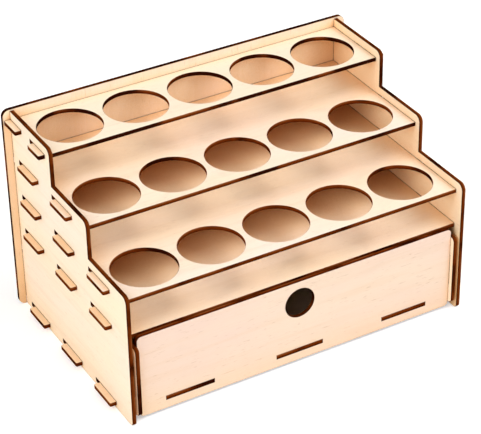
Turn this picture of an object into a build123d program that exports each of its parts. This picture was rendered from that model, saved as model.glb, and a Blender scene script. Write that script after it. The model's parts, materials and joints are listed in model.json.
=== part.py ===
"""A stepped bottle rack with a drawer, slotted together from laser-cut plywood sheets.

Millimetres, +Z up, the open front faces -Y. The origin is on the bench, below the middle of the whole
rack. Three stepped tiers hold bottles in round holes, and each tier's bottles stand on the plate of the
tier below. The plates hook through both side panels, and the side panels hook through the back panel.
"""
import os

from build123d import *

os.makedirs("parts", exist_ok=True)

# ---------------------------------------------------------------- driving sizes
ply = 3.0                 # thickness of every sheet

# Bottle holes, and the wood left around them
holes_per_row = 5
hole_diameter = 45.4
hole_web = 4.6            # between two holes of a row
end_web = 5.3             # from a row's end holes to the side panels
rear_web = 5.8            # from the rear row's holes to the back panel
row_web = 5.9             # between one row's holes and the next row's, seen from above
front_web = 4.8           # from a row's holes to its plate's front edge

# Tiers
bay_top_height = 68.6     # from the bench to the upper face of the plate over the drawer
tier_rise = 27.8          # from one plate's upper face to the next one's
side_overhang = 4.9       # how far the side panels stand out in front of the plates
front_overhang_extra = 2.0  # how much further they stand out in front of the front tier, over the drawer
rim = 6.3                 # how far the side panels stand up above the plates
step_corner = 5.0         # radius of the side panels' outer corners
toe_corner = 3.0          # radius of their front corners at the bench

# Back panel
back_overlap = 5.6        # how far it reaches past each side panel
back_rise = 1.2           # how far it reaches above the side panels
back_corner = 5.0

# Hooked tabs: a neck in the slot, and a head outside that reaches over the panel beyond the slot
neck_length = 19.0
short_neck_length = 12.0  # on the top tier, where the side panel is narrow
top_tab_setback = 1.5     # from the top plate's front edge back to its front tabs' heads
rear_neck_length = 17.4   # on the side panels' rear edge
hook_reach = 5.6          # how far a head reaches past its neck
head_stand = 4.8          # how far a head stands out of the panel that it holds
head_corner = 1.2
first_heel_depth = 15.3   # from the back panel to the rear tab of every plate but the top one
upper_tab_drop = 29.8     # from the top plate down to the side panels' upper rear tab
middle_tab_drop = 18.6    # from the plate over the drawer down to their middle rear tab
slot_fit = 0.1            # gap on each face of a tab in its slot
slide_play = 0.6          # further slot length, so that a head passes before it is slid home

# Base plate and drawer
base_gap = 2.8            # from the bench to the base plate
drawer_setback = 3.7      # from the side panels' front edges back to the drawer front's face
drawer_stop_gap = 0.3     # from the drawer front's back to the plates that stop it
drawer_side_gap = 1.75    # from the drawer's sides to the side panels
drawer_run_gap = 0.2      # from the base plate to the drawer's sides
drawer_top_gap = 5.3      # from the drawer's sides up to the plate over them
drawer_rear_gap = 6.0     # from the drawer's rear end to the back panel
drawer_front_lift = 2.4   # from the bench to the drawer front
drawer_front_drop = 1.4   # from the upper face of the plate over the drawer down to its front's top edge
drawer_front_corner = 3.5
drawer_side_corner = 3.0
drawer_side_lead = 3.6    # how far the drawer's sides stand out past its front and back
drawer_floor_lift = 3.3   # from the drawer's sides' lower edges to the drawer's bottom
finger_hole_diameter = 22.7
finger_hole_drop = 17.4   # from the drawer front's top edge to the hole's centre
floor_tab_length = 36.5   # tabs of the drawer's bottom, through its front and back
floor_tab_inset = 19.8    # from the drawer's sides to the outer ones
corner_tab_length = 24.0  # tabs through the drawer's sides
corner_tab_inset = 23.0   # from the drawer's front and back to the ones on its bottom

# ---------------------------------------------------------------- sizes that follow
hole_radius = hole_diameter / 2
hole_pitch = hole_diameter + hole_web
row_pitch = hole_diameter + row_web
inner_half = (holes_per_row - 1) * hole_pitch / 2 + hole_radius + end_web
outer_half = inner_half + ply
cabinet_width = 2 * outer_half
tab_reach = ply + head_stand

# The three tiers, from the rear one to the front one. Depths are from the back panel's front face.
tiers = range(3)
tier_heights = [bay_top_height + tier_rise * (len(tiers) - tier) for tier in tiers]
row_depths = [rear_web + hole_radius + row_pitch * tier for tier in tiers]
tier_depths = [depth + hole_radius + front_web for depth in row_depths]
step_depths = [depth + side_overhang for depth in tier_depths]
step_depths[-1] += front_overhang_extra
step_heights = [height + rim for height in tier_heights]
cabinet_depth = step_depths[-1]
base_height = base_gap + ply
slot_width = ply + 2 * slot_fit

# The back panel's front face, set so that the origin is under the middle of the rack
back_face = (cabinet_depth - tab_reach) / 2
back_width = cabinet_width + 2 * back_overlap
back_height = step_heights[0] + back_rise

# Drawer, from its front to its rear end and from its bottom up
drawer_half = inner_half - drawer_side_gap - ply
drawer_face = back_face - cabinet_depth + drawer_setback
drawer_front_back = drawer_face + ply
drawer_side_front = drawer_face - drawer_side_lead
drawer_rear = back_face - drawer_rear_gap
drawer_back_face = drawer_rear - drawer_side_lead - ply
drawer_length = drawer_back_face - drawer_front_back
drawer_middle = (drawer_front_back + drawer_back_face) / 2
drawer_side_length = drawer_rear - drawer_side_front
bay_depth = back_face - drawer_front_back - drawer_stop_gap
drawer_side_base = base_height + drawer_run_gap
drawer_side_height = bay_top_height - ply - drawer_top_gap - drawer_side_base
drawer_side_middle = drawer_side_base + drawer_side_height / 2
drawer_floor_middle = drawer_side_base + drawer_floor_lift + ply / 2
drawer_front_top = bay_top_height - drawer_front_drop
drawer_front_height = drawer_front_top - drawer_front_lift
drawer_front_middle = drawer_front_lift + drawer_front_height / 2
floor_tab_pitch = drawer_half - floor_tab_inset - floor_tab_length / 2
floor_side_tab_pitch = drawer_length - 2 * corner_tab_inset - corner_tab_length
floor_slot_length = floor_tab_length + 2 * slot_fit
corner_slot_length = corner_tab_length + 2 * slot_fit


def tab_heels(depth):
    """Depths of the rear ends of a plate's tabs: as many, one row pitch apart, as the plate has room for."""
    heels = [first_heel_depth]
    while heels[-1] + row_pitch + neck_length + hook_reach < depth:
        heels.append(heels[-1] + row_pitch)
    return heels


# The top plate's tabs are short: one starts at the back panel, the other ends near the plate's front edge
top_heels = [0.0, tier_depths[0] - top_tab_setback - short_neck_length - hook_reach]
middle_heels = tab_heels(tier_depths[1])
front_heels = tab_heels(tier_depths[2])
bay_heels = tab_heels(bay_depth)

# Each plate: name, height of its upper face, depth, depth of its row of holes, neck length, tab heels
plates = [
    ("top_tier_plate", tier_heights[0], tier_depths[0], row_depths[0], short_neck_length, top_heels),
    ("middle_tier_plate", tier_heights[1], tier_depths[1], row_depths[1], neck_length, middle_heels),
    ("front_tier_plate", tier_heights[2], tier_depths[2], row_depths[2], neck_length, front_heels),
    ("drawer_bay_top", bay_top_height, bay_depth, None, neck_length, bay_heels),
    ("base_plate", base_height, bay_depth, None, neck_length, bay_heels),
]

# Lower ends of the side panels' rear tabs. The lowest one's slot is open at the bench.
rear_heels = [
    hook_reach + 2 * slot_fit,
    bay_top_height - middle_tab_drop,
    tier_heights[0] - upper_tab_drop,
]


# ---------------------------------------------------------------- shared outlines
def hooked_tab(root, heel, neck, direction):
    """Draw a tab that leaves its sheet at root and starts at heel, with its head reaching along direction."""
    throat = heel + direction * neck
    toe = throat + direction * hook_reach
    with BuildLine() as tab:
        Polyline(
            (root, heel),
            (root + tab_reach, heel),
            (root + tab_reach, toe),
            (root + ply, toe),
            (root + ply, throat),
            (root, throat),
            close=True,
        )
    make_face(tab.edges())


def round_heads(sketch, head_face):
    """Round the outer corners of the tab heads, whose outer faces are at head_face."""
    corners = sketch.vertices().filter_by(lambda corner: abs(corner.X - head_face) < 0.001)
    fillet(corners, radius=head_corner)


def slot_span(heel, neck):
    """The middle and the length of a hooked tab's slot, measured the way its head reaches."""
    start = heel - hook_reach - slide_play
    end = heel + neck + slot_fit
    return (start + end) / 2, end - start


def floor_slots():
    """Cut the three slots for the tabs of the drawer's bottom into the drawer's front or back."""
    with Locations((0, drawer_floor_middle)):
        with GridLocations(floor_tab_pitch, 0, 3, 1):
            Rectangle(floor_slot_length, slot_width, mode=Mode.SUBTRACT)


# ---------------------------------------------------------------- plates
for name, height, depth, row_depth, neck, heels in plates:
    with BuildPart() as plate:
        with BuildSketch(Plane.XY.offset(height - ply)) as outline:
            with Locations((0, back_face - depth / 2)):
                Rectangle(2 * inner_half, depth)
            for heel in heels:
                hooked_tab(inner_half, back_face - heel, neck, -1)
            round_heads(outline, inner_half + tab_reach)
            mirror(about=Plane.YZ)
            if row_depth is not None:
                with Locations((0, back_face - row_depth)):
                    with GridLocations(hole_pitch, 0, holes_per_row, 1):
                        Circle(hole_radius, mode=Mode.SUBTRACT)
        extrude(amount=ply)
    plate.part.label = name
    export_step(plate.part, f"parts/{name}.step")

# ---------------------------------------------------------------- side panels
step_tips = [(back_face - depth, height) for depth, height in zip(step_depths, step_heights)]
step_outline = [(back_face, 0), (back_face - cabinet_depth, 0)]
for (tip_y, tip_z), (next_y, _) in zip(reversed(step_tips), [*reversed(step_tips[:-1]), (back_face, 0)]):
    step_outline += [(tip_y, tip_z), (next_y, tip_z)]

for name, left_face in (("left_side_panel", -outer_half), ("right_side_panel", inner_half)):
    with BuildPart() as panel:
        with BuildSketch(Plane.YZ.offset(left_face)) as outline:
            with BuildLine():
                Polyline(*step_outline, close=True)
            make_face()
            tips = outline.vertices().filter_by(
                lambda corner: any(abs(corner.X - y) + abs(corner.Y - z) < 0.001 for y, z in step_tips)
            )
            fillet(tips, radius=step_corner)
            toe = outline.vertices().filter_by(
                lambda corner: abs(corner.X - back_face + cabinet_depth) + abs(corner.Y) < 0.001
            )
            fillet(toe, radius=toe_corner)
            for heel in rear_heels:
                hooked_tab(back_face, heel, rear_neck_length, 1)
            round_heads(outline, back_face + tab_reach)
            for _, height, _, _, neck, heels in plates:
                for heel in heels:
                    slot_middle, slot_length = slot_span(heel, neck)
                    with Locations((back_face - slot_middle, height - ply / 2)):
                        Rectangle(slot_length, slot_width, mode=Mode.SUBTRACT)
        extrude(amount=ply)
    panel.part.label = name
    export_step(panel.part, f"parts/{name}.step")

# ---------------------------------------------------------------- back panel
with BuildPart() as back_panel:
    with BuildSketch(Plane.XZ.offset(-back_face - ply)):
        with Locations((0, back_height / 2)):
            RectangleRounded(back_width, back_height, back_corner)
        for heel in rear_heels:
            slot_middle, slot_length = slot_span(heel, rear_neck_length)
            with Locations((0, slot_middle)):
                with GridLocations(cabinet_width - ply, 0, 2, 1):
                    Rectangle(slot_width, slot_length, mode=Mode.SUBTRACT)
    extrude(amount=ply)
back_panel.part.label = "back_panel"
export_step(back_panel.part, "parts/back_panel.step")

# ---------------------------------------------------------------- drawer
with BuildPart() as drawer_front:
    with BuildSketch(Plane.XZ.offset(-drawer_front_back)):
        with Locations((0, drawer_front_middle)):
            RectangleRounded(2 * drawer_half, drawer_front_height, drawer_front_corner)
        with Locations((0, drawer_side_middle)):
            Rectangle(2 * (drawer_half + ply), corner_tab_length)
        with Locations((0, drawer_front_top - finger_hole_drop)):
            Circle(finger_hole_diameter / 2, mode=Mode.SUBTRACT)
        floor_slots()
    extrude(amount=ply)
drawer_front.part.label = "drawer_front"
export_step(drawer_front.part, "parts/drawer_front.step")

with BuildPart() as drawer_back:
    with BuildSketch(Plane.XZ.offset(-drawer_back_face - ply)):
        with Locations((0, drawer_side_middle)):
            Rectangle(2 * drawer_half, drawer_side_height)
            Rectangle(2 * (drawer_half + ply), corner_tab_length)
        floor_slots()
    extrude(amount=ply)
drawer_back.part.label = "drawer_back"
export_step(drawer_back.part, "parts/drawer_back.step")

with BuildPart() as drawer_bottom:
    with BuildSketch(Plane.XY.offset(drawer_floor_middle - ply / 2)):
        with Locations((0, drawer_middle)):
            Rectangle(2 * drawer_half, drawer_length)
            with GridLocations(floor_tab_pitch, 0, 3, 1):
                Rectangle(floor_tab_length, drawer_length + 2 * ply)
            with GridLocations(0, floor_side_tab_pitch, 1, 2):
                Rectangle(2 * (drawer_half + ply), corner_tab_length)
    extrude(amount=ply)
drawer_bottom.part.label = "drawer_bottom"
export_step(drawer_bottom.part, "parts/drawer_bottom.step")

for name, left_face in (("drawer_left_side", -drawer_half - ply), ("drawer_right_side", drawer_half)):
    with BuildPart() as side:
        with BuildSketch(Plane.YZ.offset(left_face)):
            with Locations(((drawer_side_front + drawer_rear) / 2, drawer_side_middle)):
                RectangleRounded(drawer_side_length, drawer_side_height, drawer_side_corner)
            for sheet_face in (drawer_face, drawer_back_face):
                with Locations((sheet_face + ply / 2, drawer_side_middle)):
                    Rectangle(slot_width, corner_slot_length, mode=Mode.SUBTRACT)
            with Locations((drawer_middle, drawer_floor_middle)):
                with GridLocations(floor_side_tab_pitch, 0, 2, 1):
                    Rectangle(corner_slot_length, slot_width, mode=Mode.SUBTRACT)
        extrude(amount=ply)
    side.part.label = name
    export_step(side.part, f"parts/{name}.step")
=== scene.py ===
# %% [markdown]
# # A bottle rack cut from thin plywood, dressed in Blender
#
# The rack is a flat-pack kit. Every piece is a flat sheet of 3 mm birch plywood that a laser cut out, and
# the sheets hook into each other without screws. The construction model already holds each sheet at its
# real size and place, so this lesson is about what makes bare geometry look like laser-cut ply: the eased
# and scorched edges, the veneer's grain, and soft light that reaches in under the tiers.

# %% Load the rack
import json
import math

import bpy
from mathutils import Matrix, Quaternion, Vector


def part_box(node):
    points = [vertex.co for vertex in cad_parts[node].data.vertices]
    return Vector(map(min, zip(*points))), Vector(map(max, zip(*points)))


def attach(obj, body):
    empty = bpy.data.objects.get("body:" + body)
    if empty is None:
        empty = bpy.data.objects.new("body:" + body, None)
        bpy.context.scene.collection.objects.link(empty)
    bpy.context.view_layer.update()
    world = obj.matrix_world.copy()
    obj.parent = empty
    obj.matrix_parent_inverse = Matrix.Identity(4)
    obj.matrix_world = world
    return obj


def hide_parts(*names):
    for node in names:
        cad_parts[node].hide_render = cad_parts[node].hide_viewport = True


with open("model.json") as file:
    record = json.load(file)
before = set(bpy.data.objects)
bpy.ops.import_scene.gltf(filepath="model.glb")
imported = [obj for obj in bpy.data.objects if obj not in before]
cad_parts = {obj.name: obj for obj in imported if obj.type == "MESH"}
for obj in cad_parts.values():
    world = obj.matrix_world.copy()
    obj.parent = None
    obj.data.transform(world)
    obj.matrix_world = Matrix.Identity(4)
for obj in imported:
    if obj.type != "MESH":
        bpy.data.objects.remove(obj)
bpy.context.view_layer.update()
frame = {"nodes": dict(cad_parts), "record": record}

# %% [markdown]
# ## The camera
#
# The rack is seen from the front left and from above, with a long lens, so that its edges stay nearly
# parallel. A camera that is described by the point it looks at, its direction and its distance is easier
# to adjust than one with a bare location, and the lamps further down are placed in the same way. The
# photographer's camera leaned a little, which is the roll.

# %% Camera
IMAGE_WIDTH = 481
SENSOR_WIDTH = 36.0
focal_pixels = 1949.0
aim_point = Vector((0.01111, 0.01596, 0.060))
camera_azimuth = -29.44
camera_elevation = 32.93
camera_roll = -1.05
camera_distance = 1.3832


def direction(azimuth, elevation):
    """The unit vector towards a direction in degrees. Azimuth 0 is the rack's front, and 90 its right."""
    turn, rise = math.radians(azimuth), math.radians(elevation)
    return Vector((math.sin(turn) * math.cos(rise), -math.cos(turn) * math.cos(rise), math.sin(rise)))


away = direction(camera_azimuth, camera_elevation)
lean = Quaternion((0, 0, 1), math.radians(camera_roll))
bpy.ops.object.select_all(action="DESELECT")
bpy.ops.object.camera_add(location=aim_point + away * camera_distance)
camera = bpy.context.object
camera.rotation_mode = "QUATERNION"
camera.rotation_quaternion = (-away).to_track_quat("-Z", "Y") @ lean
camera.data.sensor_width = SENSOR_WIDTH
camera.data.lens = focal_pixels * SENSOR_WIDTH / IMAGE_WIDTH
bpy.context.scene.camera = camera
print("lens in mm:", round(camera.data.lens, 1))

# %% [markdown]
# ## Small helpers for shader nodes
#
# A wood material is a handful of noise textures that are stretched along the grain. Each helper adds one
# kind of node and returns its output, so that a material reads from top to bottom like a recipe. The
# first ones make the patterns. A noise that has few cells per metre along the grain and many across it
# looks like fibre.

# %% Helpers for patterns
AXES = "XYZ"


def add_node(tree, kind, **settings):
    """Add a shader node and set its plain settings."""
    node = tree.nodes.new(kind)
    for name, value in settings.items():
        setattr(node, name, value)
    return node


def stretched_noise(tree, scales, shift, detail, distortion=0.0):
    """A noise texture on object coordinates, with its own number of cells per metre along each axis."""
    coordinates = add_node(tree, "ShaderNodeTexCoord")
    mapping = add_node(tree, "ShaderNodeMapping")
    mapping.inputs["Scale"].default_value = scales
    mapping.inputs["Location"].default_value = shift
    noise = add_node(tree, "ShaderNodeTexNoise")
    noise.inputs["Scale"].default_value = 1.0
    noise.inputs["Detail"].default_value = detail
    noise.inputs["Distortion"].default_value = distortion
    tree.links.new(coordinates.outputs["Object"], mapping.inputs["Vector"])
    tree.links.new(mapping.outputs["Vector"], noise.inputs["Vector"])
    return noise.outputs["Fac"]


def grain_scales(grain, along, across):
    """Cells per metre on the three axes, for a pattern that is stretched along the grain's axis."""
    return tuple(along if axis == grain else across for axis in AXES)


print("cells per metre on X, Y and Z, with the grain along Y:", grain_scales("Y", 7, 160))

# %% [markdown]
# The next three turn a pattern into colour. A pattern's value is stretched over a range, two colours are
# mixed by it, and values are added or multiplied where one mark depends on another.

# %% Helpers for ranges and colours


def between(tree, value, low, high, to_low=0.0, to_high=1.0):
    """Stretch the part of a value between low and high over a new range, with both ends clamped."""
    node = add_node(tree, "ShaderNodeMapRange", clamp=True)
    tree.links.new(value, node.inputs["Value"])
    for socket, number in zip(("From Min", "From Max", "To Min", "To Max"), (low, high, to_low, to_high)):
        node.inputs[socket].default_value = number
    return node.outputs["Result"]


def blend(tree, factor, first, second):
    """Mix two colours by a factor. Each colour is three numbers or another node's output."""
    node = add_node(tree, "ShaderNodeMix", data_type="RGBA")
    colours = [socket for socket in node.inputs if socket.type == "RGBA"]
    tree.links.new(factor, node.inputs["Factor"])
    for socket, source in zip(colours, (first, second)):
        if isinstance(source, tuple):
            socket.default_value = (*source, 1.0)
        else:
            tree.links.new(source, socket)
    return [socket for socket in node.outputs if socket.type == "RGBA"][0]


def calculate(tree, operation, first, second):
    """One arithmetic step on two values, each a number or another node's output."""
    node = add_node(tree, "ShaderNodeMath", operation=operation)
    for socket, source in zip(node.inputs, (first, second)):
        if isinstance(source, (int, float)):
            socket.default_value = source
        else:
            tree.links.new(source, socket)
    return node.outputs["Value"]


print("helpers so far:", [helper.__name__ for helper in (stretched_noise, between, blend, calculate)])

# %% [markdown]
# The last three deal with the surface and its surroundings. Bump makes light catch on the fibres. Ambient
# occlusion tells how much of the view from a point is free, which finds corners and the depths of the
# rack. And the light path tells the camera and mirrors apart from a lamp's light, so that the table and
# the room can look white without lighting the rack.

# %% Helpers for relief, openness and sight


def raise_surface(tree, shader, height, distance, strength):
    """Let a value between 0 and 1 stand out of the surface by up to a distance in metres."""
    bump = add_node(tree, "ShaderNodeBump")
    bump.inputs["Distance"].default_value = distance
    bump.inputs["Strength"].default_value = strength
    tree.links.new(height, bump.inputs["Height"])
    tree.links.new(bump.outputs["Normal"], shader.inputs["Normal"])


def openness(tree, reach, alone):
    """The free share of the view from a point within a reach. Alone, only its own sheet can block it."""
    node = add_node(tree, "ShaderNodeAmbientOcclusion", samples=4, only_local=alone)
    node.inputs["Distance"].default_value = reach
    return node.outputs["AO"]


def seen_directly(tree):
    """1 for what the camera, a mirror or a see-through surface shows, and 0 for light on its way to wood."""
    path = add_node(tree, "ShaderNodeLightPath")
    sight = calculate(tree, "MAXIMUM", path.outputs["Is Camera Ray"], path.outputs["Is Glossy Ray"])
    return calculate(tree, "MAXIMUM", sight, path.outputs["Is Transmission Ray"])


print("more helpers:", [helper.__name__ for helper in (raise_surface, openness, seen_directly)])

# %% [markdown]
# ## The veneer
#
# Birch veneer is pale cream with a pink cast. Four things break up its colour, each at its own size:
# wide soft clouds, long streaks along the grain, hair-fine fibres, and short pores that show as tiny
# dashes. All of them are stretched noise, and each sheet gets its own shift, as sheets from one board do.
# Faint grey-brown smudges of stretched noise lie over each sheet, stronger on some sheets than on others.

# %% Veneer colours and patterns
veneer_pink = (0.945, 0.698, 0.490)
veneer_straw = (0.950, 0.702, 0.445)
veneer_blush = (0.862, 0.630, 0.436)
veneer_rose = (0.852, 0.596, 0.434)
veneer_streak = (0.780, 0.500, 0.270)
veneer_pore = (0.520, 0.270, 0.110)
smudge_brown = (0.500, 0.330, 0.210)

# Each pattern's cells per metre along and across the grain, its detail and its distortion
veneer_patterns = {
    "clouds": (9, 24, 3, 0.0),
    "streaks": (7, 160, 5, 0.6),
    "fibres": (60, 1600, 3, 0.0),
    "pores": (150, 1500, 1, 0.0),
    "smudges": (32, 70, 6, 0.8),
}

# A span is the range of a pattern's value over which its mark fades in, and a cover how strong it gets
cloud_span = (0.35, 0.65)
streak_span, streak_cover = (0.50, 0.80), 0.36
fibre_span, fibre_cover = (0.45, 0.75), 0.14
pore_span, pore_cover = (0.68, 0.76), 0.40
smudge_span = (0.52, 0.78)
print("smallest cell in mm:", round(1000 / max(pattern[1] for pattern in veneer_patterns.values()), 2))

# %% [markdown]
# Two more marks follow the cuts. The laser's heat tans the wood for half a millimetre beside every cut,
# which follows a point attribute named scorch that the sheets get further down. And where two sheets meet, a
# line under a millimetre wide is darkened, partly char dust in the joint and partly painted shade of the
# narrow gap, which openness over a very short reach finds.
#
# Over a longer reach, openness tells how deep inside the rack a point lies. There the veneer is painted
# towards honey, and towards umber in the deepest corners: painted shade, standing in for light that has
# gone from wood to wood several times. The drawer is the exception: it slides out of its bay, so the
# sheets of its box look only at themselves and get no painted shade from the sheets around them.

# %% Marks of heat, joints and painted shade
scorch_tan = (0.190, 0.066, 0.015)
scorch_span, scorch_cover = (0.35, 1.30), 0.9
scorch_unevenness = 0.4

seam_char_and_shade = (0.090, 0.030, 0.008)
seam_reach = 0.0009
seam_span, seam_cover = (0.55, 0.80), 0.85

painted_honey = (0.955, 0.600, 0.265)
painted_umber = (0.60, 0.270, 0.082)
painted_shade_reach = 0.06
painted_shade_full = 0.20
painted_umber_span = (0.12, 0.29)
print("reach in mm for seams and for honey:", 1000 * seam_reach, 1000 * painted_shade_reach)

# %% [markdown]
# The material puts these marks over each other in this order: growth first, then the smudges and the
# heat, then the painted honey and umber shade, and last the joint line, part char dust and part painted
# shade. Fibres are also a little smoother or rougher than each other and stand out by a few hundredths of a
# millimetre.

# %% Veneer material
fibre_range, roughness_range = (0.3, 0.7), (0.54, 0.68)
veneer_specular = 0.2
fibre_relief, fibre_strength = 0.00006, 0.5


def veneer(name, look, shift):
    """Pale birch veneer. The look gives its grain's axis, its two tones, its smudges and where its painted
    honey shade starts.
    """
    material = bpy.data.materials.new(name)
    material.use_nodes = True
    tree = material.node_tree
    shader = tree.nodes["Principled BSDF"]

    clouds, streaks, fibres, pores, smudges = (
        stretched_noise(tree, grain_scales(look["grain"], along, across), shift, detail, distortion)
        for along, across, detail, distortion in veneer_patterns.values()
    )
    colour = blend(tree, between(tree, clouds, *cloud_span), *look["tones"])
    colour = blend(tree, between(tree, streaks, *streak_span, 0.0, streak_cover), colour, veneer_streak)
    colour = blend(tree, between(tree, fibres, *fibre_span, 0.0, fibre_cover), colour, veneer_streak)
    colour = blend(tree, between(tree, pores, *pore_span, 0.0, pore_cover), colour, veneer_pore)
    colour = blend(tree, between(tree, smudges, *smudge_span, 0.0, look["smudge_cover"]), colour, smudge_brown)

    heat = add_node(tree, "ShaderNodeAttribute", attribute_name="scorch").outputs["Fac"]
    heat = calculate(tree, "ADD", heat, calculate(tree, "MULTIPLY", smudges, scorch_unevenness))
    colour = blend(tree, between(tree, heat, *scorch_span, 0.0, scorch_cover), colour, scorch_tan)

    # Painted shade: the veneer turns to honey and umber where little of the view is free, in place of light
    # bounced from wood to wood.
    open_view = openness(tree, painted_shade_reach, look["alone"])
    colour = blend(tree, between(tree, open_view, painted_shade_full, look["painted_shade_below"], 1.0, 0.0), colour, painted_honey)
    colour = blend(tree, between(tree, open_view, *painted_umber_span, 1.0, 0.0), colour, painted_umber)
    # Partly painted shade: the joint line where sheets meet is part char dust and part painted shade of the
    # narrow gap.
    open_gap = openness(tree, seam_reach, look["alone"])
    colour = blend(tree, between(tree, open_gap, *seam_span, seam_cover, 0.0), colour, seam_char_and_shade)
    tree.links.new(colour, shader.inputs["Base Color"])

    tree.links.new(between(tree, fibres, *fibre_range, *roughness_range), shader.inputs["Roughness"])
    shader.inputs["Specular IOR Level"].default_value = veneer_specular
    relief = calculate(tree, "SUBTRACT", fibres, pores)
    raise_surface(tree, shader, relief, fibre_relief, fibre_strength)
    return material


print("a veneer mixes", len(veneer_patterns), "noise patterns")

# %% [markdown]
# ## The laser's cut
#
# The laser burns its way through, so a cut edge is a deep red-brown. Across the thickness it is painted
# amber towards the rim where the beam enters, partly the beam's lighter char and partly a painted
# highlight, and nearly black towards the rim where it leaves, partly the beam's darker char and partly
# painted shade; on the plates these are the top and the bottom rim. Along the edge it varies in patches a
# few centimetres long, because the beam slows down and speeds up. Some sheets are burnt harder than
# others. The place across the thickness comes from the object coordinate along the sheet's thin axis: -1
# is the rim that the beam leaves by, and 1 the rim that it enters by. Char is matt, so it gets no
# specular at all.

# %% Char colours and patterns
char_and_shade_black = (0.018, 0.0022, 0.0004)
char_brown = (0.120, 0.0180, 0.0014)
amber_char_and_highlight = (0.290, 0.0850, 0.0200)
char_roughness, char_specular = 0.9, 0.0
char_relief, char_strength = 0.00012, 0.6
ply_thickness = 0.003

patch_cells, patch_detail = 34, 3
char_along, char_across, char_detail = 2200, 380, 4
rim_wander = 0.9
amber_and_highlight_span, amber_span = (0.0, 1.1), (0.44, 0.62)
dark_rim_char_and_shade_span, dark_rim_char_and_shade_cover = (-0.3, -1.0), 0.8
burn_least, burn_gain, burn_fade, burn_cover = 0.42, 0.18, 0.12, 0.95
print("patches of char are about", round(1000 / patch_cells), "mm long")

# %% [markdown]
# The material asks two things of a point on the cut: how far across the thickness it lies, and which patch
# along the edge it is in. Brown goes on first, then amber towards the beam's entry rim in a light patch,
# part char and part painted highlight, and then black along the far rim, part char and part painted shade,
# and over the darkest patches. A noise with its grain across the edge makes the border between them wander.

# %% Charred edge material


def charred_edge(name, thin_axis, middle, shift, burn):
    """A laser-cut edge of a sheet whose middle plane is at a place on its thin axis, burnt by 0 to 1."""
    material = bpy.data.materials.new(name)
    material.use_nodes = True
    tree = material.node_tree
    shader = tree.nodes["Principled BSDF"]

    coordinates = add_node(tree, "ShaderNodeTexCoord")
    parts = add_node(tree, "ShaderNodeSeparateXYZ")
    tree.links.new(coordinates.outputs["Object"], parts.inputs["Vector"])
    from_middle = calculate(tree, "SUBTRACT", parts.outputs[thin_axis], middle)
    rim = calculate(tree, "DIVIDE", from_middle, ply_thickness / 2)

    patches = stretched_noise(tree, (patch_cells,) * 3, shift, patch_detail)
    fibres = stretched_noise(tree, grain_scales(thin_axis, char_along, char_across), shift, char_detail)
    wander = calculate(tree, "MULTIPLY", calculate(tree, "SUBTRACT", fibres, 0.5), rim_wander)
    rim = calculate(tree, "ADD", rim, wander)

    # Painted highlight: amber on the rim where the beam enters, the plates' top rim, partly the beam's
    # lighter char.
    amber_and_highlight = calculate(tree, "MULTIPLY", between(tree, rim, *amber_and_highlight_span), between(tree, patches, *amber_span))
    colour = blend(tree, amber_and_highlight, char_brown, amber_char_and_highlight)
    # Painted shade: black along the rim where the beam leaves, the plates' bottom rim, partly the beam's
    # darker char.
    colour = blend(tree, between(tree, rim, *dark_rim_char_and_shade_span, 0.0, dark_rim_char_and_shade_cover), colour, char_and_shade_black)
    burnt = burn_least + burn_gain * burn
    black = between(tree, patches, burnt, burnt - burn_fade, 0.0, burn_cover)
    colour = blend(tree, black, colour, char_and_shade_black)
    tree.links.new(colour, shader.inputs["Base Color"])

    shader.inputs["Roughness"].default_value = char_roughness
    shader.inputs["Specular IOR Level"].default_value = char_specular
    raise_surface(tree, shader, fibres, char_relief, char_strength)
    return material


print("char covers edges of", 1000 * ply_thickness, "mm")

# %% [markdown]
# ## From a bare sheet to a cut one
#
# Each sheet starts as a copy of its construction mesh. That mesh is loose triangles, so the copy is merged
# first, because edges that aren't joined can't be inset or bevelled.

# %% Merge a copy
merge_distance = 0.000002
bpy.context.tool_settings.mesh_select_mode = (False, False, True)


def merged_copy(node):
    """A separate, merged copy of a construction node's mesh, active and in object mode."""
    bpy.ops.object.select_all(action="DESELECT")
    sheet = bpy.data.objects.new(node + "_sheet", frame["nodes"][node].data.copy())
    bpy.context.scene.collection.objects.link(sheet)
    sheet.select_set(True)
    bpy.context.view_layer.objects.active = sheet
    bpy.ops.object.mode_set(mode="EDIT")
    bpy.ops.mesh.select_all(action="SELECT")
    bpy.ops.mesh.remove_doubles(threshold=merge_distance)
    bpy.ops.object.mode_set(mode="OBJECT")
    return sheet


print("corners closer than", 1000 * merge_distance, "mm are merged")

# %% [markdown]
# A sheet's two big faces look along its thin axis, and everything else was made by the laser. The big
# faces are inset by half a millimetre, which gives the scorched band a place to fade: the attribute is 1 on
# the cut and 0 on the inset line.

# %% Spread the scorch
scorch_width = 0.0005
facing_limit = 0.9


def spread_scorch(sheet, thin):
    """Inset the two big faces, and grade the scorch attribute from the cut to the inset line."""
    for face in sheet.data.polygons:
        face.select = abs(face.normal[thin]) > facing_limit
    bpy.ops.object.mode_set(mode="EDIT")
    bpy.ops.mesh.inset(thickness=scorch_width, use_even_offset=True)
    bpy.ops.object.mode_set(mode="OBJECT")
    clean = {corner for face in sheet.data.polygons if face.select for corner in face.vertices}
    scorch = sheet.data.attributes.new("scorch", "FLOAT", "POINT")
    for corner, value in enumerate(scorch.data):
        value.value = 0.0 if corner in clean else 1.0


print("scorched band in mm:", 1000 * scorch_width)

# %% [markdown]
# Last, a very small bevel eases the rims. It takes the charred material too, which draws the thin dark
# line that real ply shows along every joint.

# %% Ease the rims
rim_easing = 0.00018
rim_angle = math.radians(40)
smooth_angle = math.radians(30)
CHAR_SLOT = 1


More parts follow.
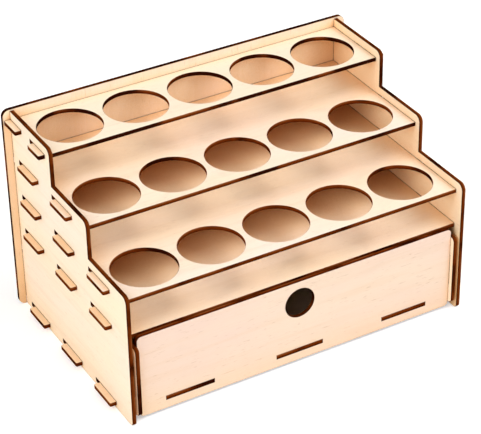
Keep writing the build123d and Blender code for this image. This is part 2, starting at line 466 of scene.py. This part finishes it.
def ease_rims(sheet):
    """Bevel every rim of a sheet a little, with the charred material on the new faces."""
    bpy.ops.object.modifier_add(type="BEVEL")
    easing = sheet.modifiers[-1]
    easing.width = rim_easing
    easing.segments = 1
    easing.limit_method = "ANGLE"
    easing.angle_limit = rim_angle
    easing.material = CHAR_SLOT
    bpy.ops.object.modifier_apply(modifier=easing.name)
    bpy.ops.object.shade_smooth_by_angle(angle=smooth_angle)


print("rims eased by", round(1000 * rim_easing, 2), "mm")

# %% [markdown]
# Together these steps dress one sheet. It gets its veneer first, and the charred material on every face
# that doesn't look along the thin axis. Then it takes its construction node's place and moves with that
# node's body.

# %% Dress one sheet
pattern_steps = (1.37, 2.11, 0.73)


def dress_sheet(node, body, look, number):
    """Replace a construction node by a sheet with veneer on its faces and char on its cut edges."""
    low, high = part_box(node)
    size = high - low
    thin = min(range(3), key=lambda axis: size[axis])
    middle = (low[thin] + high[thin]) / 2
    shift = tuple(number * step for step in pattern_steps)

    sheet = merged_copy(node)
    spread_scorch(sheet, thin)
    sheet.data.materials.clear()
    sheet.data.materials.append(veneer(node + "_veneer", look, shift))
    sheet.data.materials.append(charred_edge(node + "_edge", AXES[thin], middle, shift, look["burn"]))
    for face in sheet.data.polygons:
        face.select = abs(face.normal[thin]) < facing_limit
    bpy.ops.object.mode_set(mode="EDIT")
    sheet.active_material_index = CHAR_SLOT
    bpy.ops.object.material_slot_assign()
    bpy.ops.object.mode_set(mode="OBJECT")
    ease_rims(sheet)

    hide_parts(node)
    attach(sheet, body)
    return sheet


print("each sheet's patterns are shifted by", pattern_steps, "cells from the one before")

# %% [markdown]
# ## All the sheets
#
# The plates and the drawer's long sheets have their grain along the rack's width. The side panels' grain
# runs from front to back, and the back panel's runs upright, which shows through the top row of holes. The
# drawer front is pinker than the rest, the top plate and the right panel are more yellow, the sheets under
# the tiers get stronger grey-brown smudges, and the top plate and the back panel are burnt the most.
#
# The painted honey shade starts below an openness of 0.85, and later on the four sheets that stay paler on
# the real rack: the left panel, the drawer front, the top plate and the back panel. The four sheets of the
# drawer's box look only at themselves. A sheet's look is the usual one with its own entries put over it.

# %% Dress the rack
usual_look = {
    "grain": "X", "tones": (veneer_pink, veneer_straw), "painted_shade_below": 0.85, "smudge_cover": 0.06, "burn": 0.3,
    "alone": False,
}
all_straw = (veneer_straw, veneer_straw)
special_looks = {
    "left_side_panel": {"grain": "Y", "painted_shade_below": 0.60},
    "right_side_panel": {"grain": "Y", "tones": all_straw},
    "back_panel": {"grain": "Z", "burn": 1.0, "painted_shade_below": 0.72},
    "top_tier_plate": {"tones": all_straw, "burn": 0.9, "painted_shade_below": 0.60},
    "middle_tier_plate": {"smudge_cover": 0.24},
    "front_tier_plate": {"smudge_cover": 0.22},
    "drawer_bay_top": {"smudge_cover": 0.18},
    "base_plate": {"smudge_cover": 0.20},
    "drawer_front": {"tones": (veneer_blush, veneer_rose), "painted_shade_below": 0.60},
    "drawer_left_side": {"grain": "Y", "alone": True},
    "drawer_right_side": {"grain": "Y", "alone": True},
    "drawer_back": {"alone": True},
    "drawer_bottom": {"alone": True},
}

number = 0
for body, nodes in frame["record"]["behaviour"]["bodies"].items():
    for node in nodes:
        number += 1
        look = {**usual_look, **special_looks.get(node, {})}
        sheet = dress_sheet(node, body, look, number)
        print(sheet.name, "rides on", body, "with", len(sheet.data.polygons), "faces")

# %% [markdown]
# ## The table
#
# The rack stands on a white table. It is matt and keeps the rack's soft shadow. The lamps are a little
# blue, and the table's colour is as much warmer, so that it looks white and throws warm light up at the
# wood. A glow that only the camera sees lifts it to white. The glow is weaker near the rack, so that the
# shadow stays, and full far away, where the lamps hardly reach and the table would look grey from low down.

# %% Table
table_half = 3.0
table_colour = (0.84, 0.75, 0.62, 1.0)
table_roughness, table_specular = 0.9, 0.1
glow_near, near_radius = 0.40, 0.45
glow_far, far_radius = 1.0, 1.30

bpy.ops.object.select_all(action="DESELECT")
bpy.ops.mesh.primitive_plane_add(size=2 * table_half, location=(0, 0, 0))
table = bpy.context.object
table.name = "table_top"
table_material = bpy.data.materials.new("white_table")
table_material.use_nodes = True
table_tree = table_material.node_tree
table_shader = table_tree.nodes["Principled BSDF"]
table_shader.inputs["Base Color"].default_value = table_colour
table_shader.inputs["Roughness"].default_value = table_roughness
table_shader.inputs["Specular IOR Level"].default_value = table_specular

where = add_node(table_tree, "ShaderNodeTexCoord")
from_rack = add_node(table_tree, "ShaderNodeVectorMath", operation="LENGTH")
table_tree.links.new(where.outputs["Object"], from_rack.inputs[0])
radius = from_rack.outputs["Value"]
glow_there = between(table_tree, radius, near_radius, far_radius, glow_near, glow_far)
glow = add_node(table_tree, "ShaderNodeEmission")
shown_glow = calculate(table_tree, "MULTIPLY", seen_directly(table_tree), glow_there)
table_tree.links.new(shown_glow, glow.inputs["Strength"])
both = add_node(table_tree, "ShaderNodeAddShader")
table_tree.links.new(table_shader.outputs["BSDF"], both.inputs[0])
table_tree.links.new(glow.outputs["Emission"], both.inputs[1])
table_tree.links.new(both.outputs["Shader"], table_tree.nodes["Material Output"].inputs["Surface"])
table.data.materials.append(table_material)
print("table:", 2 * table_half, "m wide, glow from", glow_near, "to", glow_far)

# %% [markdown]
# ## The room
#
# The world is plain white to the camera and in mirrors. As a light it is faint, because an even light
# from all sides would fill the shade under the tiers and flatten the rack.

# %% World
white = (1.0, 1.0, 1.0, 1.0)
shown_strength = 1.0
ambient_strength = 0.05

world = bpy.data.worlds.new("white_room")
bpy.context.scene.world = world
world.use_nodes = True
world_tree = world.node_tree
background = world_tree.nodes["Background"]
background.inputs["Color"].default_value = white
world_strength = between(world_tree, seen_directly(world_tree), 0.0, 1.0, ambient_strength, shown_strength)
world_tree.links.new(world_strength, background.inputs["Strength"])
print("the world's strength as a light:", ambient_strength)

# %% [markdown]
# ## The lamps
#
# Large soft lamps leave the faces nearly even in tone, and the shade under the tiers is warm, partly
# because it is light that wood has already reflected and partly from the painted honey shade in the veneer.
# The right one lights the plates and the drawer front, two on the left light the side panel, and a weak low
# one reaches in under the tiers. Two larger ones behind the rack light the tiers' floors through the holes.
# No lamp stands where the camera is, so that the finger hole stays dark.

# %% Lamps
lamp_aim = Vector((0.0, 0.0, 0.07))
lamp_distance = 1.8
lamp_colour = (0.88, 1.0, 1.22)

# Each lamp's azimuth and elevation in degrees, its size in metres and its power in watts
lamps = {
    "right_softbox": (50, 50, 1.6, 30),
    "left_softbox": (-75, 28, 1.6, 17.5),
    "front_left_softbox": (-56, 26, 1.6, 13),
    "low_softbox": (14, 15, 1.2, 6.0),
    "rear_left_softbox": (-110, 40, 2.4, 7),
    "back_softbox": (155, 68, 3.6, 13.5),
}


def soft_lamp(name, azimuth, elevation, size, power):
    """A square area lamp, placed by its direction as seen from the middle of the rack."""
    outwards = direction(azimuth, elevation)
    bpy.ops.object.select_all(action="DESELECT")
    bpy.ops.object.light_add(type="AREA", location=lamp_aim + outwards * lamp_distance)
    lamp = bpy.context.object
    lamp.name = name
    lamp.rotation_mode = "QUATERNION"
    lamp.rotation_quaternion = (-outwards).to_track_quat("-Z", "Y")
    lamp.data.shape = "SQUARE"
    lamp.data.size = size
    lamp.data.energy = power
    lamp.data.color = lamp_colour


for name, settings in lamps.items():
    soft_lamp(name, *settings)
    print(name, "with", settings[-1], "W")

# %% [markdown]
# ## Colours as they are
#
# The Standard view keeps white at white and leaves the wood's colours as they were mixed.

# %% View
bpy.context.scene.view_settings.view_transform = "Standard"
